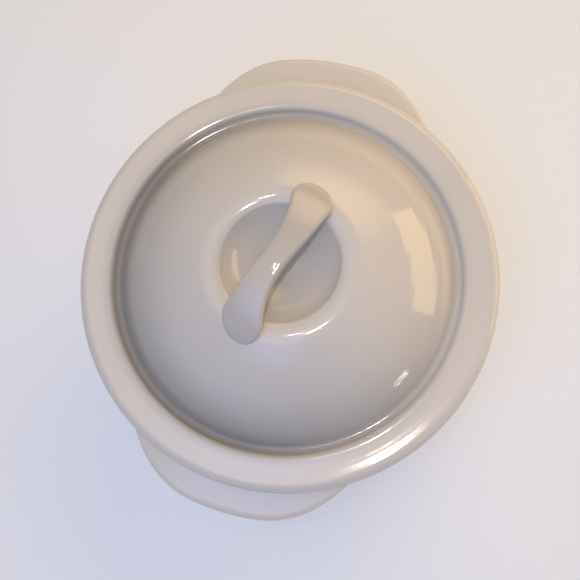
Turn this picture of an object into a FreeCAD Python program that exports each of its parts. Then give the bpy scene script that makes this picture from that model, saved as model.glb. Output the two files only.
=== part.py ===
import FreeCAD, Part
import math
import os

"""Round covered casserole dish in glazed white porcelain.

Frame: millimetres, +Z up, origin at the centre of the foot ring on the table, the two
lugs of the dish along +X and -X.  The lid rests on the dish rim and is shown with its
strap handle turned out of line with the lugs, as it was last put down.
"""

# ---- dish -------------------------------------------------------------------------
RIM_HEIGHT = 92.0           # table to the flat rim that carries the lid
MOUTH_RADIUS = 106.0        # inside of the rim
WALL = 7.0                  # wall at the rim
WALL_DRAFT = 4.0            # how much narrower the wall is at the shoulder than at the rim
SHOULDER_HEIGHT = 44.0      # where the straight wall turns into the rounded bottom
BOTTOM_THICKNESS = 7.5
FLOOR_RADIUS = 70.0         # flat part of the inside bottom
FOOT_RADIUS = 76.0          # outside of the foot ring
FOOT_WIDTH = 6.5
FOOT_HEIGHT = 4.0
FOOT_COVE = 1.6             # where the foot ring leaves the bottom
FOOT_EDGE_ROUND = 1.4
RIM_ROUND = 2.2

# ---- lugs -------------------------------------------------------------------------
LUG_REACH_RIGHT = 139.8     # dish axis to the outer edge of the lug; the two differ by
LUG_REACH_LEFT = 136.2      # a little, as on a hand-finished dish
LUG_CREST_RIGHT = 10.5      # half angle of the even outer edge
LUG_CREST_LEFT = 8.5
LUG_FLANK_ANGLE = 57.0      # half angle at which the flank has sunk into the wall
LUG_FLANK_SINK = 10.0       # how deep inside the wall's outer face the flank ends
LUG_OUTLINE_STEPS = 16      # stretches of the curve through the outline
LUG_LEAN = 2.4              # both lugs were luted on this far towards the back, degrees
LUG_TOP = 89.6              # top face beside the wall, just below the rounded rim
LUG_TIP_TOP = 88.4          # top face at the tip
LUG_TIP_UNDERSIDE = 78.6
LUG_ROOT_UNDERSIDE = 70.0
LUG_UNDERSIDE_KNEE = 11.0   # distance past the wall at which the underside levels out
LUG_KNEE_DROP = 3.2         # the underside there, below the underside of the tip
LUG_EDGE_ROUND = 3.6

# ---- lid: brim and dome -----------------------------------------------------------
LID_RADIUS = 120.0
LID_GAP = 0.3               # air between the rim and the underside of the brim
BRIM_THICKNESS = 9.6
BRIM_DISH = 0.6             # how far the top of the brim sags between its shoulders
BRIM_INNER_RADIUS = 100.5
BRIM_OUTER_ROUND = 6.0
BRIM_LOWER_ROUND = 3.0
BRIM_INNER_ROUND = 3.6
CHANNEL_RADIUS = 97.0       # where brim wall and dome would meet without the cove
CHANNEL_COVE = 3.0
DOME_RADIUS = 125.65        # radius of the spherical dome
DOME_CENTRE_HEIGHT = 15.76
SHELL = 6.5                 # wall of the dome and of the finger well

# ---- lid: finger well -------------------------------------------------------------
WELL_RADIUS = 32.3          # where the lip breaks off into the well
WELL_WALL_SLOPE = 60.0      # steepness of the well's wall just below that, degrees
WELL_EDGE_ROUND = 2.2
LIP_CREST_RADIUS = 38.7     # the lip is a broad roll between dome and well
LIP_ROLL = 15.0
WELL_ROOT_ROUND = 8.0       # inside of the lid, where the well hangs from the dome

# ---- lid: locating flange ---------------------------------------------------------
FLANGE_CLEARANCE = 2.0      # to the inside of the dish mouth
FLANGE_WIDTH = 6.2
FLANGE_DEPTH = 8.6
FLANGE_ROUND = 2.4

# ---- strap handle -----------------------------------------------------------------
STRAP_TURN = -16.0          # strap direction from +X, degrees
STRAP_HALF_LENGTH = 47.1
STRAP_SHIFT = -0.5          # the strap's middle is this far along it from the lid axis
STRAP_WAIST = 13.2          # width in the middle
STRAP_END_WIDTH = 22.8
STRAP_FLARE_AT = 35.0       # distance from the middle at which an end is widest
STRAP_OFFSET = 0.9          # the strap sits this far off the lid axis
STRAP_SWAY = 2.1            # half height of the slow S of its middle line
STRAP_SWAY_LENGTH = 79.0
STRAP_TOP = 149.0           # top of the arch
STRAP_END_TOP = 136.4       # top face at the ends
STRAP_THICKNESS = 8.0       # in the middle
STRAP_END_UNDERSIDE = 127.5  # ends run down into the dome
STRAP_ARCH_OVERRUN = 4.0    # the arch's side view is drawn this far past each end
STRAP_STATIONS = (0.0, 15.0, 27.0, 36.0, 42.0, 45.0)  # where the plan outline is set
STRAP_EDGE_ROUND = 1.8

# ---- sizes that follow from the ones above -----------------------------------------
Z_AXIS = FreeCAD.Vector(0, 0, 1)
ORIGIN = FreeCAD.Vector(0, 0, 0)
OVERLAP = 6.0               # how far the blanks that are cut to shape reach past it
BRIM_UNDERSIDE = RIM_HEIGHT + LID_GAP
BRIM_TOP = BRIM_UNDERSIDE + BRIM_THICKNESS
RIM_OUTER_RADIUS = MOUTH_RADIUS + WALL
FLANGE_OUTER_RADIUS = MOUTH_RADIUS - FLANGE_CLEARANCE


def at(r, z):
    """Point of a turned profile: r from the axis, z above the table."""
    return FreeCAD.Vector(r, 0, z)


def line(a, b):
    return Part.LineSegment(a, b).toShape()


def arc(a, middle, b):
    return Part.Arc(a, middle, b).toShape()


def tangent_arc(start, end, direction):
    """Arc of a turned profile from start to end that arrives at end along direction."""
    normal = FreeCAD.Vector(direction.z, 0, -direction.x).normalize()
    chord = end - start
    radius = chord.dot(chord) / (2 * chord.dot(normal))
    centre = end - normal * radius
    half_way = ((start + end) / 2 - centre).normalize()
    return arc(start, centre + half_way * abs(radius), end)


def turned(edges):
    """Solid of revolution about the Z axis from the edges of a closed profile.

    The profile is swung round to +Y first, which keeps the seam clear of the lugs.
    """
    face = Part.Face(Part.Wire(edges))
    face.rotate(ORIGIN, Z_AXIS, 90)
    return face.revolve(ORIGIN, Z_AXIS, 360)


def round_ring(solid, r, z, radius):
    """Round the ring-shaped edge that passes through the profile point (r, z)."""
    rings = []
    for edge in solid.Edges:
        if not edge.Degenerated and isinstance(edge.Curve, Part.Circle):
            centre = edge.Curve.Center
            if abs(edge.Curve.Radius - r) < 0.05 and abs(centre.z - z) < 0.05:
                rings.append(edge)
    return solid.makeFillet(radius, rings)


def sphere_z(radius, centre_height, r):
    """Height of the upper half of a sphere on the axis, at distance r from the axis."""
    return centre_height + math.sqrt(radius ** 2 - r ** 2)


def sphere_arc(radius, centre_height, r_start, r_end):
    """Arc of that sphere's profile between two distances from the axis."""
    r_middle = (r_start + r_end) / 2
    ends = [at(r, sphere_z(radius, centre_height, r)) for r in (r_start, r_middle, r_end)]
    return arc(*ends)


# ---- dish bowl ---------------------------------------------------------------------

def dish_bowl():
    """Turned bowl with a drafted wall, rounded bottom and a foot ring."""
    shoulder_out = RIM_OUTER_RADIUS - WALL_DRAFT
    shoulder_in = MOUTH_RADIUS - WALL_DRAFT
    foot_inner = FOOT_RADIUS - FOOT_WIDTH
    floor = FOOT_HEIGHT + BOTTOM_THICKNESS
    wall = FreeCAD.Vector(WALL_DRAFT, 0, RIM_HEIGHT - SHOULDER_HEIGHT)
    profile = [
        line(at(0, FOOT_HEIGHT), at(foot_inner, FOOT_HEIGHT)),
        line(at(foot_inner, FOOT_HEIGHT), at(foot_inner, 0)),
        line(at(foot_inner, 0), at(FOOT_RADIUS, 0)),
        line(at(FOOT_RADIUS, 0), at(FOOT_RADIUS, FOOT_HEIGHT)),
        tangent_arc(at(FOOT_RADIUS, FOOT_HEIGHT), at(shoulder_out, SHOULDER_HEIGHT), wall),
        line(at(shoulder_out, SHOULDER_HEIGHT), at(RIM_OUTER_RADIUS, RIM_HEIGHT)),
        line(at(RIM_OUTER_RADIUS, RIM_HEIGHT), at(MOUTH_RADIUS, RIM_HEIGHT)),
        line(at(MOUTH_RADIUS, RIM_HEIGHT), at(shoulder_in, SHOULDER_HEIGHT)),
        tangent_arc(at(FLOOR_RADIUS, floor), at(shoulder_in, SHOULDER_HEIGHT), wall),
        line(at(FLOOR_RADIUS, floor), at(0, floor)),
        line(at(0, floor), at(0, FOOT_HEIGHT)),
    ]
    solid = turned(profile)
    solid = round_ring(solid, RIM_OUTER_RADIUS, RIM_HEIGHT, RIM_ROUND)
    solid = round_ring(solid, MOUTH_RADIUS, RIM_HEIGHT, RIM_ROUND)
    solid = round_ring(solid, FOOT_RADIUS, FOOT_HEIGHT, FOOT_COVE)
    solid = round_ring(solid, FOOT_RADIUS, 0, FOOT_EDGE_ROUND)
    solid = round_ring(solid, foot_inner, 0, FOOT_EDGE_ROUND)
    return round_ring(solid, foot_inner, FOOT_HEIGHT, FOOT_COVE)


# ---- lugs --------------------------------------------------------------------------

def wall_cone():
    """Everything inside the drafted outer face of the dish wall."""
    shoulder = RIM_OUTER_RADIUS - WALL_DRAFT
    height = RIM_HEIGHT - SHOULDER_HEIGHT
    cone = Part.makeCone(shoulder, RIM_OUTER_RADIUS, height, at(0, SHOULDER_HEIGHT))
    cone.rotate(ORIGIN, Z_AXIS, 90)
    return cone


def lug_radius(angle, reach, crest):
    """Plan outline: even over the crest's half angle, then a smooth S into the dish wall."""
    run = (abs(angle) - crest) / (LUG_FLANK_ANGLE - crest)
    run = min(max(run, 0.0), 1.0)
    sunk = RIM_OUTER_RADIUS - LUG_FLANK_SINK
    return sunk + (reach - sunk) * (1 + math.cos(math.pi * run)) / 2


def lug(direction, reach, crest):
    """One flat lug, luted on in the given direction (degrees from +X)."""

    def plan(radius, angle):
        turn = math.radians(angle)
        return FreeCAD.Vector(radius * math.cos(turn), radius * math.sin(turn), 0)

    fractions = [2 * i / LUG_OUTLINE_STEPS - 1 for i in range(LUG_OUTLINE_STEPS + 1)]
    spread = [LUG_FLANK_ANGLE * fraction for fraction in fractions]
    outer = [plan(lug_radius(angle, reach, crest), angle) for angle in spread]
    edge = Part.BSplineCurve()
    edge.interpolate(outer)
    root = RIM_OUTER_RADIUS - LUG_FLANK_SINK - OVERLAP
    first, last = plan(root, -LUG_FLANK_ANGLE), plan(root, LUG_FLANK_ANGLE)
    outline = Part.Wire([
        edge.toShape(),
        line(outer[-1], last),
        arc(last, plan(root, 0), first),
        line(first, outer[0]),
    ])
    prism = Part.Face(outline).extrude(FreeCAD.Vector(0, 0, RIM_HEIGHT))

    inside = root - OVERLAP / 2
    beyond = reach + OVERLAP
    knee = at(RIM_OUTER_RADIUS + LUG_UNDERSIDE_KNEE, LUG_TIP_UNDERSIDE - LUG_KNEE_DROP)
    section = Part.Face(Part.Wire([
        line(at(inside, LUG_TOP), at(RIM_OUTER_RADIUS, LUG_TOP)),
        line(at(RIM_OUTER_RADIUS, LUG_TOP), at(beyond, LUG_TIP_TOP)),
        line(at(beyond, LUG_TIP_TOP), at(beyond, LUG_TIP_UNDERSIDE)),
        arc(at(beyond, LUG_TIP_UNDERSIDE), knee, at(inside, LUG_ROOT_UNDERSIDE)),
        line(at(inside, LUG_ROOT_UNDERSIDE), at(inside, LUG_TOP)),
    ]))
    half_sweep = 1.2 * LUG_FLANK_ANGLE
    section.rotate(ORIGIN, Z_AXIS, -half_sweep)
    body = prism.common(section.revolve(ORIGIN, Z_AXIS, 2 * half_sweep)).Solids[0]

    def runs_round_the_rim(edge):
        """True for the two long edges of the outer rim, above and below."""
        return edge.BoundBox.YLength > reach and edge.BoundBox.XMax > reach - OVERLAP

    body = body.makeFillet(LUG_EDGE_ROUND, [e for e in body.Edges if runs_round_the_rim(e)])
    body = body.cut(wall_cone())
    body.rotate(ORIGIN, Z_AXIS, direction)
    return max(body.Solids, key=lambda piece: piece.Volume)


# ---- lid ---------------------------------------------------------------------------

def lid_cover():
    """Brim, channel, dome and finger well, all turned in one piece."""
    dome = (DOME_RADIUS, DOME_CENTRE_HEIGHT)
    inner_dome = (DOME_RADIUS - SHELL, DOME_CENTRE_HEIGHT)
    lip_centre = sphere_z(DOME_RADIUS - LIP_ROLL, DOME_CENTRE_HEIGHT, LIP_CREST_RADIUS)

    def lip_point(r):
        return at(r, lip_centre + math.sqrt(LIP_ROLL ** 2 - (r - LIP_CREST_RADIUS) ** 2))

    lip_end = LIP_CREST_RADIUS * DOME_RADIUS / (DOME_RADIUS - LIP_ROLL)
    lip = lip_point(WELL_RADIUS)
    slope = math.radians(WELL_WALL_SLOPE)
    well_ball = WELL_RADIUS / math.sin(slope)
    ball_centre = lip.z + well_ball * math.cos(slope)
    well_floor = ball_centre - well_ball

    def well_point(radius, r):
        return at(r, ball_centre - math.sqrt(radius ** 2 - r ** 2))

    inside_ball = well_ball + SHELL
    root_r = WELL_RADIUS
    while well_point(inside_ball, root_r).z < sphere_z(*inner_dome, root_r):
        root_r += 0.01
    root = at(root_r, sphere_z(*inner_dome, root_r))
    eaves_r = math.sqrt(inner_dome[0] ** 2 - (BRIM_UNDERSIDE - DOME_CENTRE_HEIGHT) ** 2)
    eaves = at(eaves_r, BRIM_UNDERSIDE)
    channel = at(CHANNEL_RADIUS, sphere_z(*dome, CHANNEL_RADIUS))
    shoulder = at(BRIM_INNER_RADIUS, BRIM_TOP)
    crest = at(LID_RADIUS, BRIM_TOP)
    sag = at((BRIM_INNER_RADIUS + LID_RADIUS) / 2, BRIM_TOP - BRIM_DISH)
    edge = at(LID_RADIUS, BRIM_UNDERSIDE)
    profile = [
        arc(at(0, well_floor), well_point(well_ball, WELL_RADIUS / 2), lip),
        arc(lip, lip_point(LIP_CREST_RADIUS), lip_point(lip_end)),
        sphere_arc(*dome, lip_end, CHANNEL_RADIUS),
        line(channel, shoulder),
        arc(shoulder, sag, crest),
        line(crest, edge),
        line(edge, eaves),
        sphere_arc(*inner_dome, eaves_r, root_r),
        arc(root, well_point(inside_ball, root_r / 2), at(0, well_floor - SHELL)),
        line(at(0, well_floor - SHELL), at(0, well_floor)),
    ]
    solid = turned(profile)
    solid = round_ring(solid, lip.x, lip.z, WELL_EDGE_ROUND)
    solid = round_ring(solid, root.x, root.z, WELL_ROOT_ROUND)
    solid = round_ring(solid, channel.x, channel.z, CHANNEL_COVE)
    solid = round_ring(solid, shoulder.x, shoulder.z, BRIM_INNER_ROUND)
    solid = round_ring(solid, crest.x, crest.z, BRIM_OUTER_ROUND)
    return round_ring(solid, edge.x, edge.z, BRIM_LOWER_ROUND)


def locating_flange():
    """Ring under the brim that drops inside the dish mouth and centres the lid."""
    inner = FLANGE_OUTER_RADIUS - FLANGE_WIDTH
    bottom = BRIM_UNDERSIDE - FLANGE_DEPTH
    ring = Part.makeCylinder(FLANGE_OUTER_RADIUS, FLANGE_DEPTH, at(0, bottom))
    ring = ring.cut(Part.makeCylinder(inner, FLANGE_DEPTH, at(0, bottom)))
    ring = round_ring(ring, FLANGE_OUTER_RADIUS, bottom, FLANGE_ROUND)
    return round_ring(ring, inner, bottom, FLANGE_ROUND)


# ---- strap handle ------------------------------------------------------------------

def strap_width(u):
    """Width at distance u from the middle: narrow waist, flared and rounded ends."""
    reach = abs(u)
    if reach < STRAP_FLARE_AT:
        flare = (reach / STRAP_FLARE_AT) ** 2
        return STRAP_WAIST + (STRAP_END_WIDTH - STRAP_WAIST) * flare
    run = (reach - STRAP_FLARE_AT) / (STRAP_HALF_LENGTH - STRAP_FLARE_AT)
    return STRAP_END_WIDTH * math.sqrt(max(1 - run ** 2, 0))


def strap_middle(u):
    """Sideways place of the middle line, a slow S."""
    return STRAP_OFFSET - STRAP_SWAY * math.sin(2 * math.pi * u / STRAP_SWAY_LENGTH)


def strap_handle(cover):
    """Arched strap over the finger well, its two ends bedded on the dome."""
    stations = [-u for u in STRAP_STATIONS[:0:-1]] + list(STRAP_STATIONS)
    left = [FreeCAD.Vector(u, strap_middle(u) + strap_width(u) / 2, 0) for u in stations]
    right = [FreeCAD.Vector(u, strap_middle(u) - strap_width(u) / 2, 0) for u in stations]
    tips = [FreeCAD.Vector(u, strap_middle(u), 0) for u in (STRAP_HALF_LENGTH, -STRAP_HALF_LENGTH)]
    loop = Part.BSplineCurve()
    loop.interpolate(left + [tips[0]] + right[::-1] + [tips[1]], PeriodicFlag=True)
    plan = Part.Face(Part.Wire([loop.toShape()]))
    prism = plan.extrude(FreeCAD.Vector(0, 0, STRAP_TOP + OVERLAP))

    end = STRAP_HALF_LENGTH + STRAP_ARCH_OVERRUN
    drop = (end / STRAP_HALF_LENGTH) ** 2
    top_end = STRAP_TOP - (STRAP_TOP - STRAP_END_TOP) * drop
    under_top = STRAP_TOP - STRAP_THICKNESS
    under_end = under_top - (under_top - STRAP_END_UNDERSIDE) * drop
    side = STRAP_END_WIDTH
    arch = Part.Face(Part.Wire([
        arc(at(-end, top_end), at(0, STRAP_TOP), at(end, top_end)),
        line(at(end, top_end), at(end, under_end)),
        arc(at(end, under_end), at(0, under_top), at(-end, under_end)),
        line(at(-end, under_end), at(-end, top_end)),
    ]))
    arch.translate(FreeCAD.Vector(0, -side, 0))
    slab = arch.extrude(FreeCAD.Vector(0, 2 * side, 0))
    body = prism.common(slab).Solids[0]
    body = body.makeFillet(STRAP_EDGE_ROUND, body.Edges)
    body.translate(FreeCAD.Vector(STRAP_SHIFT, 0, 0))
    body.rotate(ORIGIN, Z_AXIS, STRAP_TURN)
    return max(body.cut(cover).Solids, key=lambda piece: piece.Volume)


def main():
    os.makedirs("parts", exist_ok=True)
    cover = lid_cover()
    nodes = {
        "dish_bowl": dish_bowl(),
        "lug_right": lug(LUG_LEAN, LUG_REACH_RIGHT, LUG_CREST_RIGHT),
        "lug_left": lug(180 - LUG_LEAN, LUG_REACH_LEFT, LUG_CREST_LEFT),
        "lid_locating_flange": locating_flange(),
        "lid_cover": cover,
        "lid_strap_handle": strap_handle(cover),
    }
    for name, shape in nodes.items():
        box = shape.BoundBox
        print(name, shape.ShapeType, "valid", shape.isValid(), "solids", len(shape.Solids),
              "volume %.1f cm3" % (shape.Volume / 1000),
              "x %.1f %.1f  y %.1f %.1f  z %.1f %.1f" % (
                  box.XMin, box.XMax, box.YMin, box.YMax, box.ZMin, box.ZMax))
        shape.exportStep("parts/" + name + ".step")


main()
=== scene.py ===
"""Looks of a round covered casserole in glazed off-white porcelain.

Each sub-assembly is a class that holds its sizes in millimetres, builds its meshes in the
CAD frame and dresses them in a finish. Main sizes and places are read from the frame.
"""

import logging
import math
from dataclasses import dataclass, field
from enum import Enum

import bmesh
import bpy
from mathutils import Matrix, Vector


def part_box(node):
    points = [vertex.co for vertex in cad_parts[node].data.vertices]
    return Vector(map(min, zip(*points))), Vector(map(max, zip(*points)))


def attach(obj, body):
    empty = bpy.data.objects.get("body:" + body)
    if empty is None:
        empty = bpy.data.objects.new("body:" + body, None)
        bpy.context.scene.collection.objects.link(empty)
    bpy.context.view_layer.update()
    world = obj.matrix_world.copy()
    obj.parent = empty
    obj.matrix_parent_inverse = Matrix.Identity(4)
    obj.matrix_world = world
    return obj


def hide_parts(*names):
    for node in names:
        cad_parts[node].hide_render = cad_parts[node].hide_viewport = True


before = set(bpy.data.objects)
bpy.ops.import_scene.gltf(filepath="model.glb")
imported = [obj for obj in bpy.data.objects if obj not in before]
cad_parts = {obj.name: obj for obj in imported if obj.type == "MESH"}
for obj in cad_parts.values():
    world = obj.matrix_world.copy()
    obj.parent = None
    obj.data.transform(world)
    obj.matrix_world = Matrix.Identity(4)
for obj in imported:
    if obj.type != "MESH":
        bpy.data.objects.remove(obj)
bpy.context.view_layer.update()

MM = 0.001
FULL_TURN = 2 * math.pi
SAME_PLACE = 1e-4               # points of an outline closer than this are one, mm
LEAST_STEPS = 6                 # fewest stretches of an arc
CORNER_STEP = 0.6               # stretches of a rounded corner, mm
WELD = 0.005                    # vertices closer than this are merged, mm
log = logging.getLogger("casserole")
Point = tuple[float, float]


class Slot(Enum):
    """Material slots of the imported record."""

    GLAZE = "white_glaze"
    BARE = "bare_porcelain"


class Body(Enum):
    """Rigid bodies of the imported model."""

    DISH = "dish"
    SEAT = "lid_seat"
    LID = "lid"


# ---- plane geometry of half sections ------------------------------------------------

@dataclass(frozen=True)
class Ring:
    """A circle in the half section: centre (distance from the axis, height) and radius."""

    r: float
    z: float
    radius: float

    def grown(self, by: float) -> "Ring":
        """The same circle with its radius changed by that much."""
        return Ring(self.r, self.z, self.radius + by)

    def at_angle(self, angle: float) -> Point:
        """Point of the circle at an angle in radians, 0 pointing away from the axis."""
        return self.r + self.radius * math.cos(angle), self.z + self.radius * math.sin(angle)

    def angle_to(self, point: Point) -> float:
        """Angle at which a point is seen from the centre."""
        return math.atan2(point[1] - self.z, point[0] - self.r)

    def nearest(self, point: Point) -> Point:
        """Point of the circle in the direction of another point."""
        return self.at_angle(self.angle_to(point))

    def top_at(self, r: float) -> Point:
        """Point of the upper half at a distance from the axis."""
        return r, self.z + math.sqrt(self.radius ** 2 - (r - self.r) ** 2)

    def on_line(self, start: Point, direction: Point) -> Point:
        """Where a line leaves the circle.

        Args:
            start: any point of the line.
            direction: unit direction of the line.

        Returns:
            The crossing that lies further along the direction.
        """
        r, z = start[0] - self.r, start[1] - self.z
        half = r * direction[0] + z * direction[1]
        run = -half + math.sqrt(half ** 2 - r ** 2 - z ** 2 + self.radius ** 2)
        return start[0] + run * direction[0], start[1] + run * direction[1]

    def meet(self, other: "Ring") -> Point:
        """Where two circles cross.

        Args:
            other: second circle, which has to cross this one.

        Returns:
            The one of the two crossings that is further from the axis.
        """
        dr, dz = other.r - self.r, other.z - self.z
        gap = math.hypot(dr, dz)
        along = (gap ** 2 + self.radius ** 2 - other.radius ** 2) / (2 * gap)
        across = math.sqrt(self.radius ** 2 - along ** 2)
        sides = [
            (self.r + (dr * along + s * dz * across) / gap,
             self.z + (dz * along - s * dr * across) / gap)
            for s in (1, -1)
        ]
        return max(sides)


@dataclass
class Outline:
    """Half section of a turned piece, drawn point by point in millimetres."""

    points: list[Point] = field(default_factory=list)

    def to(self, *points: Point) -> "Outline":
        """Straight on to each point in turn.

        Args:
            points: places to go to; one that repeats the last place is skipped.

        Returns:
            The outline itself.
        """
        for point in points:
            if not self.points or math.dist(self.points[-1], point) > SAME_PLACE:
                self.points.append(point)
        return self

    def arc(self, ring: Ring, start: Point, end: Point, step: float = 1.0) -> "Outline":
        """Along a circle, the short way round.

        Args:
            ring: circle to follow.
            start: point whose direction begins the arc.
            end: point whose direction ends it.
            step: longest distance between two points.

        Returns:
            The outline itself, so that calls can be chained.
        """
        first = ring.angle_to(start)
        sweep = (ring.angle_to(end) - first + math.pi) % FULL_TURN - math.pi
        count = max(LEAST_STEPS, math.ceil(abs(sweep) * ring.radius / step))
        return self.to(*[ring.at_angle(first + sweep * i / count) for i in range(count + 1)])

    def rounded(self, corner: Point, towards: Point, radius: float) -> "Outline":
        """Straight to a corner, which is rounded off on the way towards the next point.

        Args:
            corner: where the two straights would meet.
            towards: a point further on, after the corner.
            radius: radius of the rounding.

        Returns:
            The outline itself.
        """
        before = Vector(self.points[-1]) - Vector(corner)
        after = Vector(towards) - Vector(corner)
        half = before.angle(after) / 2
        bisector = (before.normalized() + after.normalized()).normalized()
        centre = Vector(corner) + bisector * (radius / math.sin(half))
        reach = radius / math.tan(half)
        ring = Ring(centre.x, centre.y, radius)
        start = Vector(corner) + before.normalized() * reach
        end = Vector(corner) + after.normalized() * reach
        return self.arc(ring, tuple(start), tuple(end), CORNER_STEP)


# ---- modelling helpers ---------------------------------------------------------------

def deselect() -> None:
    """Leaves object mode with nothing selected."""
    if bpy.context.object and bpy.context.object.mode != "OBJECT":
        bpy.ops.object.mode_set(mode="OBJECT")
    bpy.ops.object.select_all(action="DESELECT")


def draw_chain(name: str, points: list[Point], closed: bool) -> bpy.types.Object:
    """Draws a chain of edges in the XZ plane by extruding one vertex from point to point.

    Args:
        name: name of the new object.
        points: half section in millimetres, (distance from the axis, height).
        closed: whether the last point is joined to the first.

    Returns:
        The new object, left in edit mode with everything selected.
    """
    deselect()
    bpy.ops.mesh.primitive_plane_add(size=MM)
    piece = bpy.context.active_object
    piece.name = piece.data.name = name
    bpy.ops.object.mode_set(mode="EDIT")
    bpy.ops.mesh.select_mode(type="VERT")
    bpy.ops.mesh.select_all(action="SELECT")
    bpy.ops.mesh.merge(type="CENTER")
    r, z = points[0]
    bpy.ops.transform.translate(value=(r * MM, 0, z * MM))
    for (r0, z0), (r1, z1) in zip(points, points[1:]):
        step = ((r1 - r0) * MM, 0, (z1 - z0) * MM)
        bpy.ops.mesh.extrude_vertices_move(TRANSFORM_OT_translate={"value": step})
    bpy.ops.mesh.select_all(action="SELECT")
    if closed:
        mesh = bmesh.from_edit_mesh(piece.data)
        ends = [v for v in mesh.verts if len(v.link_edges) == 1]
        for vert in mesh.verts:
            vert.select_set(vert in ends)
        bmesh.update_edit_mesh(piece.data)
        bpy.ops.mesh.edge_face_add()
        bpy.ops.mesh.select_all(action="SELECT")
    return piece


def turn(name: str, points: list[Point], closed: bool = True,
         steps: int = 192) -> bpy.types.Object:
    """Turns a half section round the Z axis, as on a jigger wheel.

    Args:
        name: name of the new object.
        points: half section in millimetres; an open one starts and ends on the axis.
        closed: whether the section is a closed loop clear of the axis.
        steps: number of segments round the axis.

    Returns:
        The finished mesh, smooth and facing outwards.
    """
    piece = draw_chain(name, points, closed)
    bpy.ops.mesh.spin(steps=steps, angle=FULL_TURN, center=(0, 0, 0), axis=(0, 0, 1))
    bpy.ops.mesh.select_all(action="SELECT")
    bpy.ops.mesh.remove_doubles(threshold=WELD * MM)
    bpy.ops.mesh.normals_make_consistent(inside=False)
    bpy.ops.object.mode_set(mode="OBJECT")
    bpy.ops.object.shade_smooth()
    return piece


def spin_by(degrees: float) -> None:
    """Turns the selection about Z; with no window the operator turns the other way."""
    bpy.ops.transform.rotate(value=-math.radians(degrees), orient_axis="Z",
                             center_override=(0, 0, 0))


def close_shell() -> None:
    """Caps the open ends of a drawn-out shell, faces it outwards and leaves it smooth."""
    bpy.ops.mesh.select_all(action="SELECT")
    bpy.ops.mesh.fill_holes(sides=0)
    bpy.ops.mesh.select_all(action="SELECT")
    bpy.ops.mesh.normals_make_consistent(inside=False)
    bpy.ops.object.mode_set(mode="OBJECT")
    bpy.ops.object.shade_smooth()


def settle(piece: bpy.types.Object, body: Body, slot: Slot, *nodes: str) -> bpy.types.Object:
    """Puts a finished piece on its body in place of the CAD nodes that it stands for.

    Args:
        piece: the finished object.
        body: rigid body that carries it.
        slot: material slot that it shows; not used.
        nodes: CAD nodes that it stands for.

    Returns:
        The same object.
    """
    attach(piece, body.value)
    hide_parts(*nodes)
    log.info("%s: %d faces on %s", piece.name, len(piece.data.polygons), body.value)
    return piece


def box_mm(node: str) -> tuple[Vector, Vector]:
    """Lowest and highest corner of a CAD node in millimetres."""
    low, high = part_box(node)
    return low / MM, high / MM


# ---- finishes ------------------------------------------------------------------------

def srgb(code: str) -> tuple[float, float, float, float]:
    """Linear colour of an sRGB hex code.

    Args:
        code: six hex digits, such as "E4DFD6".

    Returns:
        Red, green, blue and a full alpha.
    """
    channels = [int(code[i:i + 2], 16) / 255 for i in (0, 2, 4)]
    linear = [c / 12.92 if c <= 0.04045 else ((c + 0.055) / 1.055) ** 2.4 for c in channels]
    return (*linear, 1.0)


def add(tree: bpy.types.NodeTree, kind: str, links: dict | None = None,
        **settings: str) -> bpy.types.Node:
    """Adds a node.

    Args:
        tree: node tree that takes it.
        kind: node type without its ShaderNode prefix.
        links: input name or number to a value, or to the socket that feeds it.
        settings: properties of the node.

    Returns:
        The new node.
    """
    new = tree.nodes.new("ShaderNode" + kind)
    for name, value in settings.items():
        setattr(new, name, value)
    for key, value in (links or {}).items():
        if isinstance(value, bpy.types.NodeSocket):
            tree.links.new(value, new.inputs[key])
        else:
            new.inputs[key].default_value = value
    return new


def flattened(tree: bpy.types.NodeTree, place: bpy.types.NodeSocket) -> bpy.types.NodeSocket:
    """Place with its height left out, whose length is the distance from the axis."""
    level = add(tree, "VectorMath", {0: place, 1: (1.0, 1.0, 0.0)}, operation="MULTIPLY")
    return level.outputs[0]


def new_material(name: str) -> bpy.types.Material:
    """Material with an empty node tree.

    Args:
        name: name of the new material.

    Returns:
        The material, to be filled with nodes.
    """
    material = bpy.data.materials.new(name)
    material.use_nodes = True
    material.node_tree.nodes.clear()
    return material


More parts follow.
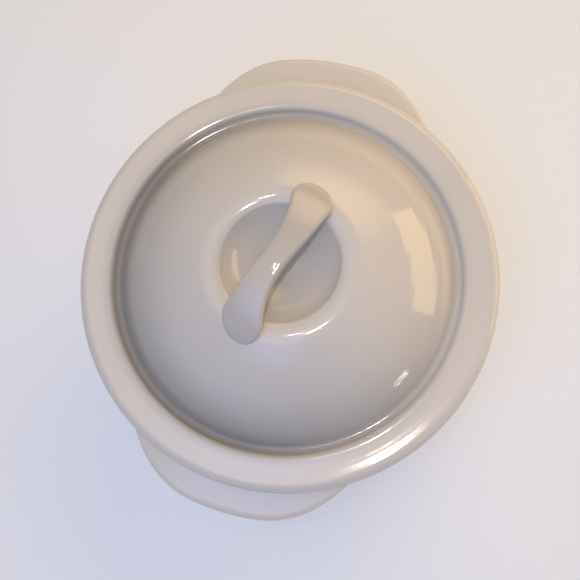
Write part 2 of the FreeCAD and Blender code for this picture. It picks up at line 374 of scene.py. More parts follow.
@dataclass(frozen=True)
class GlazedPorcelain:
    """Off-white feldspar glaze over jiggered porcelain, fired glossy.

    The glaze is a clear glassy coat about 0.2 mm thick: mirror-like, faintly uneven, with a
    few iron specks and pinholes from firing. Where rings of painted shade are given, it is
    darkened in hollows and more so on one side.
    """

    name: str = "glazed_porcelain"
    light: str = "D6D1C8"
    deep: str = "CECAC2"
    speck: str = "4A4038"
    bare: str = "DCD6CB"
    painted_shade: tuple[tuple[float, float], ...] = ()     # painted shade rings: (mm from the axis, brightness left)
    shade_side: float = 120.0        # painted shade is strongest on this side, degrees from +X
    shade_from_mm: float = -80.0     # the painted shade is faint this far from the axis away from that side
    shade_to_mm: float = 50.0        # and full from this far towards that side
    least_shade: float = 0.3         # share of the painted shade that is left on the far side
    ior: float = 1.52
    roughness: tuple[float, float] = (0.055, 0.11)
    gloss_mm: float = 18.0          # size of the duller and glossier patches
    drift_mm: float = 45.0          # size of the slow change of tint
    speck_spacing_mm: float = 26.0
    speck_radius_mm: float = 0.42
    speck_spread: float = 1.6       # the largest speck, as a multiple of that radius
    speck_edge: float = 0.35        # width of a speck's blurred edge, likewise
    speckless: float = 0.62         # share of the places for specks that stay empty
    speck_cover: float = 0.75       # how far a speck hides the glaze under it
    pit_mm: float = 0.02            # depth of the pinhole over a speck
    wave_mm: float = 24.0           # slow waviness of the fired wall
    wave_height_mm: float = 0.12
    peel_mm: float = 4.0            # orange peel of the glaze
    peel_height_mm: float = 0.022
    ring_mm: float = 3.1            # jigger lines under the glaze
    ring_height_mm: float = 0.006
    foot_line_mm: float = 1.0       # below this the glaze was wiped off, 0 for none
    foot_blur_mm: float = 0.4
    bare_roughness: float = 0.75

    def build(self) -> bpy.types.Material:
        """Makes the node material.

        Returns:
            The material, with its pattern laid out in object coordinates.
        """
        material = new_material(self.name)
        tree = material.node_tree
        place = add(tree, "TexCoord").outputs["Object"]
        out = add(tree, "OutputMaterial")
        drift = add(tree, "TexNoise", {"Vector": place, "Scale": 1 / (self.drift_mm * MM),
                                       "Detail": 3.0, "Roughness": 0.45})
        tint = add(tree, "Mix", {0: drift.outputs["Fac"], 6: srgb(self.light), 7: srgb(self.deep)},
                   data_type="RGBA")
        # painted shade: darker rings by distance from the axis, stronger on one side, where given
        shade = self.paint_shade(tree, place, tint.outputs[2])
        speck = self.specks(tree, place)
        cover = add(tree, "Math", {0: speck, 1: self.speck_cover}, operation="MULTIPLY")
        spotted = add(tree, "Mix", {0: cover.outputs[0], 6: shade, 7: srgb(self.speck)},
                      data_type="RGBA")
        gloss = add(tree, "TexNoise", {"Vector": place, "Scale": 1 / (self.gloss_mm * MM),
                                       "Detail": 4.0})
        smooth, dull = self.roughness
        sheen = add(tree, "MapRange", {"Value": gloss.outputs["Fac"], "From Min": 0.3,
                                       "From Max": 0.7, "To Min": smooth, "To Max": dull})
        height = self.surface_height(tree, place, speck)
        bump = add(tree, "Bump", {"Height": height, "Strength": 1.0, "Distance": 1.0})
        colour, roughness = spotted.outputs[2], sheen.outputs[0]
        if self.foot_line_mm:
            level = add(tree, "SeparateXYZ", {0: place}).outputs[2]
            glazed_from = (self.foot_line_mm + self.foot_blur_mm) * MM
            wiped = add(tree, "MapRange", {"Value": level, "From Min": self.foot_line_mm * MM,
                                           "From Max": glazed_from,
                                           "To Min": 1.0, "To Max": 0.0}).outputs[0]
            colour = add(tree, "Mix", {0: wiped, 6: colour, 7: srgb(self.bare)},
                         data_type="RGBA").outputs[2]
            roughness = add(tree, "Mix", {0: wiped, 2: roughness,
                                          3: self.bare_roughness}).outputs[0]
        shader = add(tree, "BsdfPrincipled", {
            "Base Color": colour, "Roughness": roughness, "Normal": bump.outputs[0],
            "IOR": self.ior, "Subsurface Weight": 0.06, "Subsurface Scale": 1.6 * MM,
            "Subsurface Radius": (1.0, 0.8, 0.6)})
        tree.links.new(shader.outputs[0], out.inputs["Surface"])
        return material

    def specks(self, tree: bpy.types.NodeTree,
               place: bpy.types.NodeSocket) -> bpy.types.NodeSocket:
        """Iron specks of uneven size, strewn one to a cell with most cells left empty.

        Args:
            tree: node tree of the material.
            place: object coordinates.

        Returns:
            1 inside a speck and 0 outside, with a blurred edge.
        """
        cells = add(tree, "TexVoronoi", {"Vector": place, "Randomness": 1.0,
                                         "Scale": 1 / (self.speck_spacing_mm * MM)})
        size = add(tree, "SeparateColor", {0: cells.outputs["Color"]})
        limit = self.speck_radius_mm / self.speck_spacing_mm
        reach = add(tree, "Math", {0: size.outputs[0], 1: limit * self.speck_spread},
                    operation="MULTIPLY")
        rim = add(tree, "Math", {0: reach.outputs[0], 1: limit * self.speck_edge},
                  operation="SUBTRACT")
        spot = add(tree, "MapRange", {"Value": cells.outputs["Distance"],
                                      "From Min": rim.outputs[0], "From Max": reach.outputs[0],
                                      "To Min": 1.0, "To Max": 0.0})
        kept = add(tree, "Math", {0: size.outputs[1], 1: self.speckless},
                   operation="GREATER_THAN")
        speck = add(tree, "Math", {0: spot.outputs[0], 1: kept.outputs[0]}, operation="MULTIPLY")
        return speck.outputs[0]

    def paint_shade(self, tree: bpy.types.NodeTree, place: bpy.types.NodeSocket,
               colour: bpy.types.NodeSocket) -> bpy.types.NodeSocket:
        """Colour darkened by painted shade, by distance from the axis and more on one side.

        Args:
            tree: node tree of the material.
            place: object coordinates.
            colour: colour of the glaze without painted shade.

        Returns:
            The colour with painted shade, or the same one where none is given.
        """
        if not self.painted_shade:
            return colour
        distance = add(tree, "VectorMath", {0: flattened(tree, place)}, operation="LENGTH")
        reach = self.painted_shade[-1][0]
        share = add(tree, "Math", {0: distance.outputs["Value"], 1: reach * MM}, operation="DIVIDE")
        ramp = add(tree, "ValToRGB", {0: share.outputs[0]})
        stops = ramp.color_ramp.elements
        for index, (radius, left) in enumerate(self.painted_shade):
            stop = stops[index] if index < 2 else stops.new(radius / reach)
            stop.position = radius / reach
            stop.color = (left, left, left, 1.0)
        # painted shade: stronger towards one side of the lid, fainter on the other
        shade_turn = math.radians(self.shade_side)
        toward_shade = add(tree, "VectorMath", {0: place, 1: (math.cos(shade_turn), math.sin(shade_turn), 0.0)},
                       operation="DOT_PRODUCT")
        kept = add(tree, "MapRange", {"Value": toward_shade.outputs["Value"],
                                      "From Min": self.shade_from_mm * MM,
                                      "From Max": self.shade_to_mm * MM,
                                      "To Min": self.least_shade, "To Max": 1.0})
        mixed = add(tree, "Mix", {0: kept.outputs[0], 6: colour, 7: ramp.outputs[0]},
                    data_type="RGBA", blend_type="MULTIPLY")
        return mixed.outputs[2]

    def surface_height(self, tree: bpy.types.NodeTree, place: bpy.types.NodeSocket,
                       speck: bpy.types.NodeSocket) -> bpy.types.NodeSocket:
        """Height of the fired surface, as the sum of its kinds of unevenness.

        Args:
            tree: node tree of the material.
            place: object coordinates.
            speck: 1 where there is a speck, which leaves a pinhole.

        Returns:
            The height in metres.
        """
        wave = add(tree, "TexNoise", {"Vector": place, "Scale": 1 / (self.wave_mm * MM),
                                      "Detail": 1.0, "Roughness": 0.3})
        peel = add(tree, "TexNoise", {"Vector": place, "Scale": 1 / (self.peel_mm * MM),
                                      "Detail": 2.0, "Roughness": 0.5})
        distance = add(tree, "VectorMath", {0: flattened(tree, place)}, operation="LENGTH")
        phase = add(tree, "Math", {0: distance.outputs["Value"],
                                   1: FULL_TURN / (self.ring_mm * MM)}, operation="MULTIPLY")
        rings = add(tree, "Math", {0: phase.outputs[0]}, operation="SINE")
        waves = add(tree, "Math", {0: wave.outputs["Fac"], 1: self.wave_height_mm * MM},
                    operation="MULTIPLY")
        peels = add(tree, "Math", {0: peel.outputs["Fac"], 1: self.peel_height_mm * MM,
                                   2: waves.outputs[0]}, operation="MULTIPLY_ADD")
        lines = add(tree, "Math", {0: rings.outputs[0], 1: self.ring_height_mm * MM,
                                   2: peels.outputs[0]}, operation="MULTIPLY_ADD")
        pits = add(tree, "Math", {0: speck, 1: -self.pit_mm * MM, 2: lines.outputs[0]},
                   operation="MULTIPLY_ADD")
        return pits.outputs[0]


@dataclass(frozen=True)
class BarePorcelain:
    """Porcelain body wiped free of glaze before firing: matt, warm white, finely gritty."""

    name: str = "bare_porcelain"
    light: str = "DED8CD"
    deep: str = "D3CBBE"
    stain_mm: float = 12.0          # size of the faint patches left by wiping
    grit_mm: float = 0.6            # real grit is finer; this coarse it still shows
    grit_height_mm: float = 0.02
    roughness: tuple[float, float] = (0.62, 0.85)
    ior: float = 1.5

    def build(self) -> bpy.types.Material:
        """Makes the node material.

        Returns:
            The material, with its pattern laid out in object coordinates.
        """
        material = new_material(self.name)
        tree = material.node_tree
        place = add(tree, "TexCoord").outputs["Object"]
        out = add(tree, "OutputMaterial")
        stain = add(tree, "TexNoise", {"Vector": place, "Scale": 1 / (self.stain_mm * MM),
                                       "Detail": 4.0})
        tint = add(tree, "Mix", {0: stain.outputs["Fac"], 6: srgb(self.light), 7: srgb(self.deep)},
                   data_type="RGBA")
        grit = add(tree, "TexNoise", {"Vector": place, "Scale": 1 / (self.grit_mm * MM),
                                      "Detail": 3.0})
        height = add(tree, "Math", {0: grit.outputs["Fac"], 1: self.grit_height_mm * MM},
                     operation="MULTIPLY")
        bump = add(tree, "Bump", {"Height": height.outputs[0], "Distance": 1.0})
        smooth, coarse = self.roughness
        rough = add(tree, "MapRange", {"Value": grit.outputs["Fac"], "To Min": smooth,
                                       "To Max": coarse})
        shader = add(tree, "BsdfPrincipled", {
            "Base Color": tint.outputs[2], "Roughness": rough.outputs[0],
            "Normal": bump.outputs[0], "IOR": self.ior})
        tree.links.new(shader.outputs[0], out.inputs["Surface"])
        return material


# ---- dish ----------------------------------------------------------------------------

@dataclass
class Dish:
    """Turned bowl with a foot ring, and the two flat lugs luted to its wall."""

    wall: float = 7.0
    draft: float = 4.0              # the wall is this much narrower at the shoulder
    shoulder: float = 44.0
    floor: float = 11.5
    floor_radius: float = 70.0
    foot_radius: float = 76.0
    foot_width: float = 6.5
    foot_height: float = 4.0
    foot_cove: float = 1.6          # inside the foot ring
    foot_edge: float = 1.3
    heel_cove: float = 1.2          # outside the foot ring
    heel_run: float = 2.6           # the belly leaves that cove this far out
    heel_rise: float = 0.2          # and this far up
    disc_margin: float = 30.0       # the flat disc underneath is split this far inside the foot
    rim_round: float = 2.2
    lug_lean: float = 2.4
    lug_crests: tuple[float, float] = (10.5, 8.5)   # half angle of the even crest, right and left
    lug_flank_angle: float = 57.0
    lug_flank_sink: float = 10.0
    lug_edge: float = 4.4           # rounding of the lug's edge
    lug_root: float = 108.0         # radius in the middle of the wall that the flanks sink to
    lug_cover: float = 2.0          # the section starts this far outside that radius
    lug_land: float = 4.0           # the top face is level this far past the wall
    lug_sink: float = 0.2           # and that far below the highest point of the lug
    lug_fall: float = 1.2           # how much lower the tip is
    lug_depth: float = 11.0         # top of the lug to the underside of its tip
    lug_throat: float = 9.0         # radius of the hollow under the lug, beside the wall
    lug_throat_drop: float = 2.6    # the underside there, below the underside of the tip
    lug_throat_end: float = 2.0     # height above the hollow's centre at which it ends
    lug_step: float = 1.9           # degrees between two stations
    lug_least: float = 0.03         # share of the depth at which the flank ends

    def __post_init__(self) -> None:
        """Reads the main sizes from the frame."""
        _, high = box_mm("dish_bowl")
        self.rim_height, self.rim_radius = high.z, high.x

    def tangent_ring(self, start: Point, end: Point) -> Ring:
        """Circle of the rounded bottom, tangent to the drafted wall.

        Args:
            start: where the circle begins, at the bottom.
            end: where it runs into the wall.

        Returns:
            The circle through both points.
        """
        normal = Vector((self.rim_height - self.shoulder, -self.draft)).normalized()
        chord = Vector(end) - Vector(start)
        radius = chord.dot(chord) / (2 * chord.dot(normal))
        centre = Vector(end) - normal * radius
        return Ring(centre.x, centre.y, radius)

    def bowl_outline(self) -> list[Point]:
        """Half section of the bowl.

        Returns:
            Points from the middle underneath, round the rim, to the middle inside.
        """
        mouth = self.rim_radius - self.wall
        outer, inner = self.rim_radius - self.draft, mouth - self.draft
        foot_in = self.foot_radius - self.foot_width
        heel, heart = (self.foot_radius, self.foot_height), (self.floor_radius, self.floor)
        hip_out, hip_in = (outer, self.shoulder), (inner, self.shoulder)
        rim_out, rim_in = (self.rim_radius, self.rim_height), (mouth, self.rim_height)
        belly, lining = self.tangent_ring(heel, hip_out), self.tangent_ring(heart, hip_in)
        lift = belly.nearest((heel[0] + self.heel_run, heel[1] + self.heel_rise))
        path = Outline().to((0, self.foot_height), (foot_in - self.disc_margin, self.foot_height))
        path.rounded((foot_in, self.foot_height), (foot_in, 0), self.foot_cove)
        path.rounded((foot_in, 0), (self.foot_radius, 0), self.foot_edge)
        path.rounded((self.foot_radius, 0), heel, self.foot_edge)
        path.rounded(heel, lift, self.heel_cove)
        path.arc(belly, lift, hip_out, 2.0)
        path.rounded(rim_out, rim_in, self.rim_round)
        path.rounded(rim_in, hip_in, self.rim_round)
        path.arc(lining, hip_in, heart, 2.0)
        return path.to((self.floor_radius / 2, self.floor), (0, self.floor)).points

    def lug_share(self, swing: float, reach: float, crest: float) -> float:
        """Share of its full depth that a lug has left at some angle from its middle.

        Args:
            swing: angle from the lug's middle, in degrees.
            reach: distance from the axis to the lug's outer edge.
            crest: half angle of the even outer edge, in degrees.

        Returns:
            1 over the crest, falling to nothing where the flank has sunk into the wall.
        """
        run = (abs(swing) - crest) / (self.lug_flank_angle - crest)
        run = min(max(run, 0.0), 1.0)
        sunk = self.rim_radius - self.lug_flank_sink
        edge = sunk + (reach - sunk) * (1 + math.cos(math.pi * run)) / 2
        return (edge - self.lug_root) / (reach - self.lug_root)

    def lug(self, node: str, direction: float, crest: float) -> bpy.types.Object:
        """One lug: its section is drawn out station by station, turning the work each time.

        Args:
            node: CAD node of the lug.
            direction: where the lug points, in degrees from +X.
            crest: half angle of its even outer edge, in degrees.

        Returns:
            The finished lug.
        """
        low, high = box_mm(node)
        reach, top = max(abs(low.x), abs(high.x)), high.z
        tip_top, tip_under = top - self.lug_fall, top - self.lug_depth
        inside, level = self.lug_root + self.lug_cover, top - self.lug_sink
        throat = (self.rim_radius + self.lug_throat, tip_under - self.lug_throat_drop)
        hollow = Ring(throat[0], throat[1] - self.lug_throat, self.lug_throat)
        hollow_end = (hollow.r - self.lug_throat, hollow.z + self.lug_throat_end)
        path = Outline().to((inside, level), (self.rim_radius + self.lug_land, level))
        path.rounded((reach, tip_top), (reach, tip_under), self.lug_edge)
        path.rounded((reach, tip_under), throat, self.lug_edge)
        path.arc(hollow, throat, hollow_end, 1.2)
        path.to((inside, path.points[-1][1]))
        count = int(self.lug_flank_angle / self.lug_step)
        swings = [s * self.lug_step for s in range(-count, count + 1)]
        shares = [(s, self.lug_share(s, reach, crest)) for s in swings]
        shares = [(s, share) for s, share in shares if share > self.lug_least]
        piece = draw_chain(node + "_glazed", path.points, closed=True)
        pivot = (self.lug_root * MM, 0, (tip_top + tip_under) / 2 * MM)
        before = 1.0
        for index, (swing, share) in enumerate(shares):
            if index:
                bpy.ops.mesh.extrude_region_move()
                bpy.ops.mesh.select_all(action="INVERT")
                spin_by(-self.lug_step)
                bpy.ops.mesh.select_all(action="INVERT")
            bpy.ops.transform.resize(value=(share / before, 1, 1), center_override=pivot)
            before = share
        bpy.ops.mesh.select_all(action="SELECT")
        spin_by(direction + shares[-1][0])
        close_shell()
        return piece

    def build(self, glaze: bpy.types.Material) -> list[bpy.types.Object]:
        """Builds the bowl and both lugs and dresses them.

        Args:
            glaze: material of all three.

        Returns:
            Bowl, right lug and left lug.
        """
        bowl = turn("dish_bowl_glazed", self.bowl_outline(), closed=False)
        settle(bowl, Body.DISH, Slot.GLAZE, "dish_bowl")
        pieces = [bowl]
        leans = (self.lug_lean, 180 - self.lug_lean)
        for node, direction, crest in zip(("lug_right", "lug_left"), leans, self.lug_crests):
            pieces.append(settle(self.lug(node, direction, crest), Body.DISH, Slot.GLAZE, node))
        for piece in pieces:
            piece.data.materials.append(glaze)
        return pieces


# ---- lid -----------------------------------------------------------------------------

@dataclass
class Lid:
    """Brim, cove, dome and finger well in one turned piece, the flange and the strap."""

    brim_thickness: float = 9.6
    brim_dish: float = 0.6
    brim_inner: float = 100.5
    brim_outer_round: float = 6.0
    brim_lower_round: float = 3.0
    brim_inner_round: float = 3.6
    brim_flat: Point = (-5.0, 3.0)  # the sagging top runs this far in and out of its middle
    channel: float = 97.0
    cove: float = 3.0
    dome_radius: float = 125.65
    dome_drop: float = 76.54        # brim underside to the centre of the dome
    shell: float = 6.5
    well_radius: float = 32.3
    well_slope: float = 60.0
    well_edge: float = 2.0
    lip_crest: float = 38.7
    lip_roll: float = 15.0
    root_round: float = 8.0
    flange_round: float = 2.4
    flange_width: float = 6.2
    strap_turn: float = -16.0
    strap_half: float = 47.1
    strap_shift: float = -0.5
    strap_waist: float = 13.2
    strap_end: float = 22.8
    strap_flare: float = 35.0
    strap_offset: float = 0.9
    strap_sway: float = 2.1
    strap_sway_length: float = 79.0
    strap_thickness: float = 8.0
    strap_rise: float = 12.6        # top of the arch above the top of its ends
    strap_bury: float = 0.9         # the underside falls this much more, into the dome
    strap_crown: float = 0.5        # height of the slight crown across the top
    strap_under_round: float = 2.2
    strap_left_round: float = 1.5
    strap_right_round: float = 1.8
    strap_nose: float = 0.35        # share of its thickness that is left at the very ends
    strap_stations: int = 72

    def __post_init__(self) -> None:
        """Reads the main sizes from the frame."""
        low, high = box_mm("lid_cover")
        self.radius, self.under = high.x, low.z
        self.top = self.under + self.brim_thickness
        self.strap_top = box_mm("lid_strap_handle")[1].z

    def cover_outline(self) -> list[Point]:
        """Half section of the cover.

        Returns:
            Points from the middle of the well, over dome and brim, back to the middle
            underneath.
        """
        dome = Ring(0, self.under - self.dome_drop, self.dome_radius)
        lip = Ring(*dome.grown(-self.lip_roll).top_at(self.lip_crest), self.lip_roll)
        edge_of_well = lip.top_at(self.well_radius)
        slope = math.radians(self.well_slope)
        ball = self.well_radius / math.sin(slope)
        well = Ring(0, edge_of_well[1] + ball * math.cos(slope), ball)
        floor = well.z - ball
        turn_centre = lip.grown(-self.well_edge).meet(well.grown(self.well_edge))
        turn_in = Ring(*turn_centre, self.well_edge)
        inner_dome, inner_well = dome.grown(-self.shell), well.grown(self.shell)
        root_centre = inner_dome.grown(-self.root_round).meet(inner_well.grown(self.root_round))
        root = Ring(*root_centre, self.root_round)
        channel, shoulder = dome.top_at(self.channel), (self.brim_inner, self.top)
        rise = (Vector(shoulder) - Vector(channel)).normalized()
        across = Vector((-rise.y, rise.x)) * self.cove
        offset = Vector(channel) + across
        cove_centre = dome.grown(self.cove).on_line(tuple(offset), tuple(rise))
        cove = Ring(*cove_centre, self.cove)
        foot = (cove.r - across.x, cove.z - across.y)
        crest, edge = (self.radius, self.top), (self.radius, self.under)
        half_brim = (self.radius - self.brim_inner) / 2
        saddle = (half_brim ** 2 + self.brim_dish ** 2) / (2 * self.brim_dish)
        trough = Ring(self.radius - half_brim, self.top - self.brim_dish + saddle, saddle)
        inner_sag, outer_sag = (
            trough.nearest((trough.r + side, trough.z - saddle)) for side in self.brim_flat)
        eaves = (math.sqrt(inner_dome.radius ** 2 - self.dome_drop ** 2), self.under)

        path = Outline().arc(well, (0, floor), well.nearest(turn_centre), 1.5)
        path.arc(turn_in, well.nearest(turn_centre), lip.nearest(turn_centre), 0.3)
        path.arc(lip, lip.nearest(turn_centre), dome.nearest((lip.r, lip.z)), 0.8)
        path.arc(dome, dome.nearest((lip.r, lip.z)), dome.nearest(cove_centre), 1.5)
        path.arc(cove, dome.nearest(cove_centre), foot, 0.6)
        path.rounded(shoulder, inner_sag, self.brim_inner_round)
        path.arc(trough, inner_sag, outer_sag)
        path.rounded(crest, edge, self.brim_outer_round)
        path.rounded(edge, eaves, self.brim_lower_round)
        path.to(eaves)
        path.arc(inner_dome, eaves, inner_dome.nearest(root_centre), 1.5)
        path.arc(root, inner_dome.nearest(root_centre), inner_well.nearest(root_centre), 0.8)
        path.arc(inner_well, inner_well.nearest(root_centre), (0, floor - self.shell), 1.5)
        return path.points

    def flange_outline(self) -> list[Point]:
        """Half section of the locating flange.

        Returns:
            Points clockwise from the top inner corner.
        """
        low, high = box_mm("lid_locating_flange")
        outer, inner = high.x, high.x - self.flange_width
        middle = (outer + inner) / 2
        path = Outline().to((inner, high.z), (outer, high.z))
        path.rounded((outer, low.z), (middle, low.z), self.flange_round)
        path.rounded((inner, low.z), (inner, high.z), self.flange_round)
        return path.points

    def strap_section(self) -> list[Point]:
        """Section at the waist: slightly crowned on top, with narrow rounded edges.

        Returns:
            Points round the section, from the middle of its underside.
        """
        half, thick = self.strap_waist / 2, self.strap_thickness
        edge, flank = thick - self.strap_crown, thick - self.strap_crown / 4
        path = Outline().to((0, 0), (-half / 2, 0))
        path.rounded((-half, 0), (-half, edge), self.strap_under_round)
        path.rounded((-half, edge), (-half / 2, flank), self.strap_left_round)
        path.to((-half / 2, flank), (0, thick), (half / 2, flank))
        path.rounded((half, edge), (half, 0), self.strap_right_round)
        path.rounded((half, 0), (0, 0), self.strap_under_round)
        return path.points

    def strap_width(self, reach: float) -> float:
        """Width of the strap: narrow waist, flared and rounded ends.

        Args:
            reach: distance from the middle of the strap in millimetres.

        Returns:
            The width in millimetres.
        """
        if reach < self.strap_flare:
            flare = (reach / self.strap_flare) ** 2
            return self.strap_waist + (self.strap_end - self.strap_waist) * flare
        tip = (reach - self.strap_flare) / (self.strap_half - self.strap_flare)
        return self.strap_end * math.sqrt(1 - tip ** 2)

    def strap_pose(self, u: float) -> tuple[Vector, float, float]:
        """Where and how large the section is at a distance from the middle of the strap.

        Args:
            u: distance along the strap in millimetres.

        Returns:
            The middle of the section's underside, and its width and height as shares of
            those at the waist.
        """
        run = abs(u) / self.strap_half
        sway = self.strap_sway * math.sin(FULL_TURN * u / self.strap_sway_length)
        top = self.strap_top - self.strap_rise * run ** 2
        fall = (self.strap_rise + self.strap_bury) * run ** 2
        under = self.strap_top - self.strap_thickness - fall
        nose = math.sqrt(1 - run ** 8)
        tall = (top - under) * (self.strap_nose + (1 - self.strap_nose) * nose)
        centre = Vector((sway - self.strap_offset, u + self.strap_shift, under)) * MM
        return centre, self.strap_width(abs(u)) / self.strap_waist, tall / self.strap_thickness

    def strap(self) -> bpy.types.Object:
        """The strap handle, drawn out from one end to the other over the well.

        Returns:
            The finished strap.
        """
        count = self.strap_stations
        turns = [math.pi * (i / count - 0.5) for i in range(2, count - 1)]
        piece = draw_chain("strap_handle_glazed", self.strap_section(), closed=True)
        centre, wide, tall = Vector(), 1.0, 1.0
        for index, angle in enumerate(turns):
            if index:
                bpy.ops.mesh.extrude_region_move()
            new_centre, new_wide, new_tall = self.strap_pose(self.strap_half * math.sin(angle))
            bpy.ops.transform.translate(value=new_centre - centre)
            bpy.ops.transform.resize(value=(new_wide / wide, 1, new_tall / tall),
                                     center_override=new_centre)
            centre, wide, tall = new_centre, new_wide, new_tall
        bpy.ops.mesh.select_all(action="SELECT")
        spin_by(self.strap_turn - 90)
        close_shell()
        return piece

    def build(self, glaze: bpy.types.Material, shaded_strap_glaze: bpy.types.Material,
              bare: bpy.types.Material) -> list[bpy.types.Object]:
        """Builds cover, strap and flange and dresses them.

        Args:
            glaze: material of the cover.
            shaded_strap_glaze: material of the strap, the glaze darkened as painted shade.
            bare: material of the flange.

        Returns:
            Cover, strap and flange.
        """
        cover = turn("lid_cover_glazed", self.cover_outline(), closed=False, steps=256)
        settle(cover, Body.LID, Slot.GLAZE, "lid_cover")
        cover.data.materials.append(glaze)
        strap = settle(self.strap(), Body.LID, Slot.GLAZE, "lid_strap_handle")
        strap.data.materials.append(shaded_strap_glaze)
        flange = turn("locating_flange_bare", self.flange_outline())
        settle(flange, Body.SEAT, Slot.BARE, "lid_locating_flange")
        flange.data.materials.append(bare)
        return [cover, strap, flange]


# ---- studio --------------------------------------------------------------------------

FEATHER_GAIN = 36.0     # u(1 - u) averages a sixth over each side of a light

@dataclass(frozen=True)
class Softbox:
    """A rectangular light that faces the dish."""

    name: str
    azimuth: float                  # degrees from +X towards +Y
    elevation: float
    distance: float                 # metres
    width: float
    height: float
    power: float                    # watts
    colour: str
    feathered: bool = True          # fades towards its edges, as a diffuser does

    def build(self, target: Vector) -> bpy.types.Object:
        """Hangs the light in its place.

        Args:
            target: point that the light faces, in metres.

        Returns:
            The light.
        """
        turn_to, lift = math.radians(self.azimuth), math.radians(self.elevation)
        away = Vector((math.cos(turn_to) * math.cos(lift), math.sin(turn_to) * math.cos(lift),
                       math.sin(lift)))
        facing = away.to_track_quat("Z", "Y").to_euler()
        bpy.ops.object.light_add(type="AREA", location=target + away * self.distance,
                                 rotation=facing)
        light = bpy.context.active_object
        light.name = light.data.name = self.name
        light.data.shape = "RECTANGLE"
        light.data.size, light.data.size_y = self.width, self.height
        light.data.energy = self.power
        light.data.color = srgb(self.colour)[:3]
        if self.feathered:
            self.feather(light.data)
        return light

    def feather(self, light: bpy.types.AreaLight) -> None:
        """Fades a light from its middle to its edges and keeps its total.

        Args:
            light: the area light's data.
        """
        light.use_nodes = True
        tree = light.node_tree
        tree.nodes.clear()
        across = add(tree, "SeparateXYZ", {0: add(tree, "NewGeometry").outputs["Parametric"]})
        bumps = []
        for axis in (0, 1):
            rest = add(tree, "Math", {0: 1.0, 1: across.outputs[axis]}, operation="SUBTRACT")
            bumps.append(add(tree, "Math", {0: across.outputs[axis], 1: rest.outputs[0]},
                             operation="MULTIPLY"))
        both = add(tree, "Math", {0: bumps[0].outputs[0], 1: bumps[1].outputs[0]},
                   operation="MULTIPLY")
        level = add(tree, "Math", {0: both.outputs[0], 1: FEATHER_GAIN}, operation="MULTIPLY")
        glow = add(tree, "Emission", {"Strength": level.outputs[0]})
        out = add(tree, "OutputLight")
        tree.links.new(glow.outputs[0], out.inputs["Surface"])


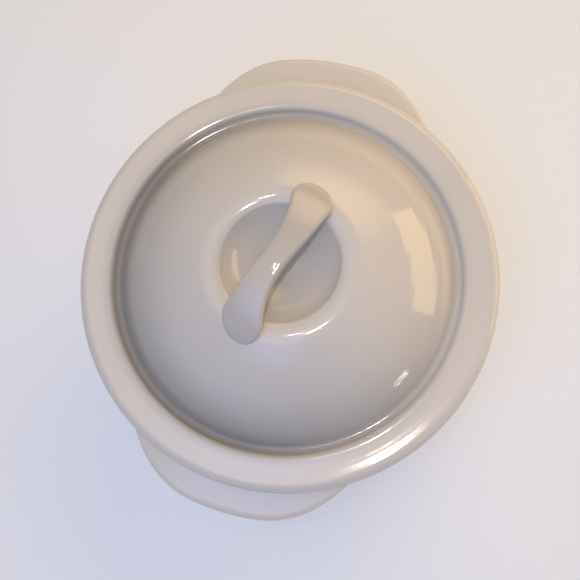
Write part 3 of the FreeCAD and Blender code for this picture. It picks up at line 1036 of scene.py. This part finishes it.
@dataclass
class Studio:
    """Pale floor, soft lights and the camera."""

    azimuth: float = -55.0
    elevation: float = 78.4
    roll: float = 22.5
    distance: float = 0.420
    aim: tuple[float, float, float] = (-0.00772, -0.0045, 0.100)
    lens: float = 46.23             # focal length, mm
    sensor: float = 36.0            # width, mm
    floor_size: float = 6.0         # metres
    floor_tones: tuple[str, str] = ("EFF5FC", "ECF2F9")
    fibre_mm: float = 2.5           # size of the floor's faint mottling
    floor_roughness: float = 0.9
    room_colour: str = "F4F6FF"
    room_strength: float = 0.27
    softboxes: tuple[Softbox, ...] = (
        Softbox("low_warm_window", -62, 10, 1.3, 1.1, 0.40, 4.6, "FFD79C", feathered=False),
        Softbox("warm_fill", -12, 34, 1.7, 2.0, 1.2, 11.0, "FFD08C"),
        Softbox("low_cool_fill", 150, 20, 1.1, 1.7, 0.7, 0.9, "C4D4FF"),
        Softbox("near_cool_fill", 172, 60, 0.5, 0.4, 0.4, 0.6, "80A4FF"),
        Softbox("bright_ceiling", 110, 78, 1.3, 1.5, 1.5, 2.9, "FFFAF2"),
        Softbox("ceiling_lamp", -120, 85, 1.3, 0.05, 0.05, 4.3, "FFF1DF", feathered=False),
        Softbox("far_ceiling_lamp", 60, 86, 1.3, 0.04, 0.04, 0.4, "FFF3E6", feathered=False),
        Softbox("distant_lamp", -115, 3, 1.3, 0.2, 0.012, 0.3, "FFFFFF", feathered=False),
    )

    def build_floor(self) -> bpy.types.Object:
        """Pale matt table top.

        Returns:
            The floor, which isn't part of the dish.
        """
        deselect()
        bpy.ops.mesh.primitive_grid_add(x_subdivisions=8, y_subdivisions=8, size=self.floor_size)
        floor = bpy.context.active_object
        floor.name = "floor"
        material = new_material("floor_matt_paper")
        tree = material.node_tree
        place = add(tree, "TexCoord").outputs["Object"]
        fibre = add(tree, "TexNoise", {"Vector": place, "Scale": 1 / (self.fibre_mm * MM),
                                       "Detail": 2.0})
        light, deep = self.floor_tones
        tone = add(tree, "Mix", {0: fibre.outputs["Fac"], 6: srgb(light), 7: srgb(deep)},
                   data_type="RGBA")
        shader = add(tree, "BsdfPrincipled", {"Base Color": tone.outputs[2],
                                              "Roughness": self.floor_roughness})
        out = add(tree, "OutputMaterial")
        tree.links.new(shader.outputs[0], out.inputs["Surface"])
        floor.data.materials.append(material)
        return floor

    def build_world(self) -> None:
        """Even dim light from all round."""
        world = bpy.data.worlds.new("studio")
        world.use_nodes = True
        background = world.node_tree.nodes["Background"]
        background.inputs["Color"].default_value = srgb(self.room_colour)
        background.inputs["Strength"].default_value = self.room_strength
        bpy.context.scene.world = world
        bpy.context.scene.view_settings.view_transform = "Standard"

    def build_camera(self) -> bpy.types.Object:
        """Camera almost straight above, turned a little about its line of sight.

        Returns:
            The scene's camera.
        """
        turn_to, lift, roll = (math.radians(a) for a in (self.azimuth, self.elevation, self.roll))
        back = Vector((math.sin(turn_to) * math.cos(lift), -math.cos(turn_to) * math.cos(lift),
                       math.sin(lift)))
        right = (-back).cross(Vector((0, 0, 1))).normalized()
        up = right.cross(-back)
        across = right * math.cos(roll) - up * math.sin(roll)
        upward = right * math.sin(roll) + up * math.cos(roll)
        facing = Matrix((across, upward, back)).transposed().to_euler()
        bpy.ops.object.camera_add(location=Vector(self.aim) + back * self.distance,
                                  rotation=facing)
        camera = bpy.context.active_object
        camera.data.lens, camera.data.sensor_width = self.lens, self.sensor
        bpy.context.scene.camera = camera
        return camera

    def build(self) -> None:
        """Sets up everything that isn't part of the dish."""
        self.build_floor()
        self.build_world()
        for softbox in self.softboxes:
            softbox.build(Vector(self.aim))
        self.build_camera()


# Millimetres from the axis and brightness left: painted shade on the lid, in the finger
# well and, most of all, in the cove between dome and brim. Its crests are left the lightest.
LID_PAINTED_SHADE = (
    (0, 0.90), (20, 0.88), (31, 0.85), (36, 0.91), (46, 0.94), (58, 0.91), (70, 0.86),
    (80, 0.76), (88, 0.64), (93, 0.48), (96, 0.38), (99, 0.46), (102, 0.84), (106, 1.00),
    (113, 1.00), (120, 0.94),
)


def main() -> None:
    """Builds the dish, its lid and the studio."""
    logging.basicConfig(level=logging.INFO, format="%(name)s: %(message)s")
    Dish().build(GlazedPorcelain("dish_glaze").build())
    # The lid's glaze is darkened by painted shade in the well and the cove, more on one side.
    lid_glaze = GlazedPorcelain("lid_glaze", painted_shade=LID_PAINTED_SHADE, foot_line_mm=0.0)
    # The strap's glaze is a darker copy of the lid's glaze: the difference is painted shade.
    shaded_strap_glaze = GlazedPorcelain("shaded_strap_glaze", "C0BAB1", "B9B4AC", foot_line_mm=0.0)
    Lid().build(lid_glaze.build(), shaded_strap_glaze.build(), BarePorcelain().build())
    Studio().build()


if __name__ == "__main__":
    main()
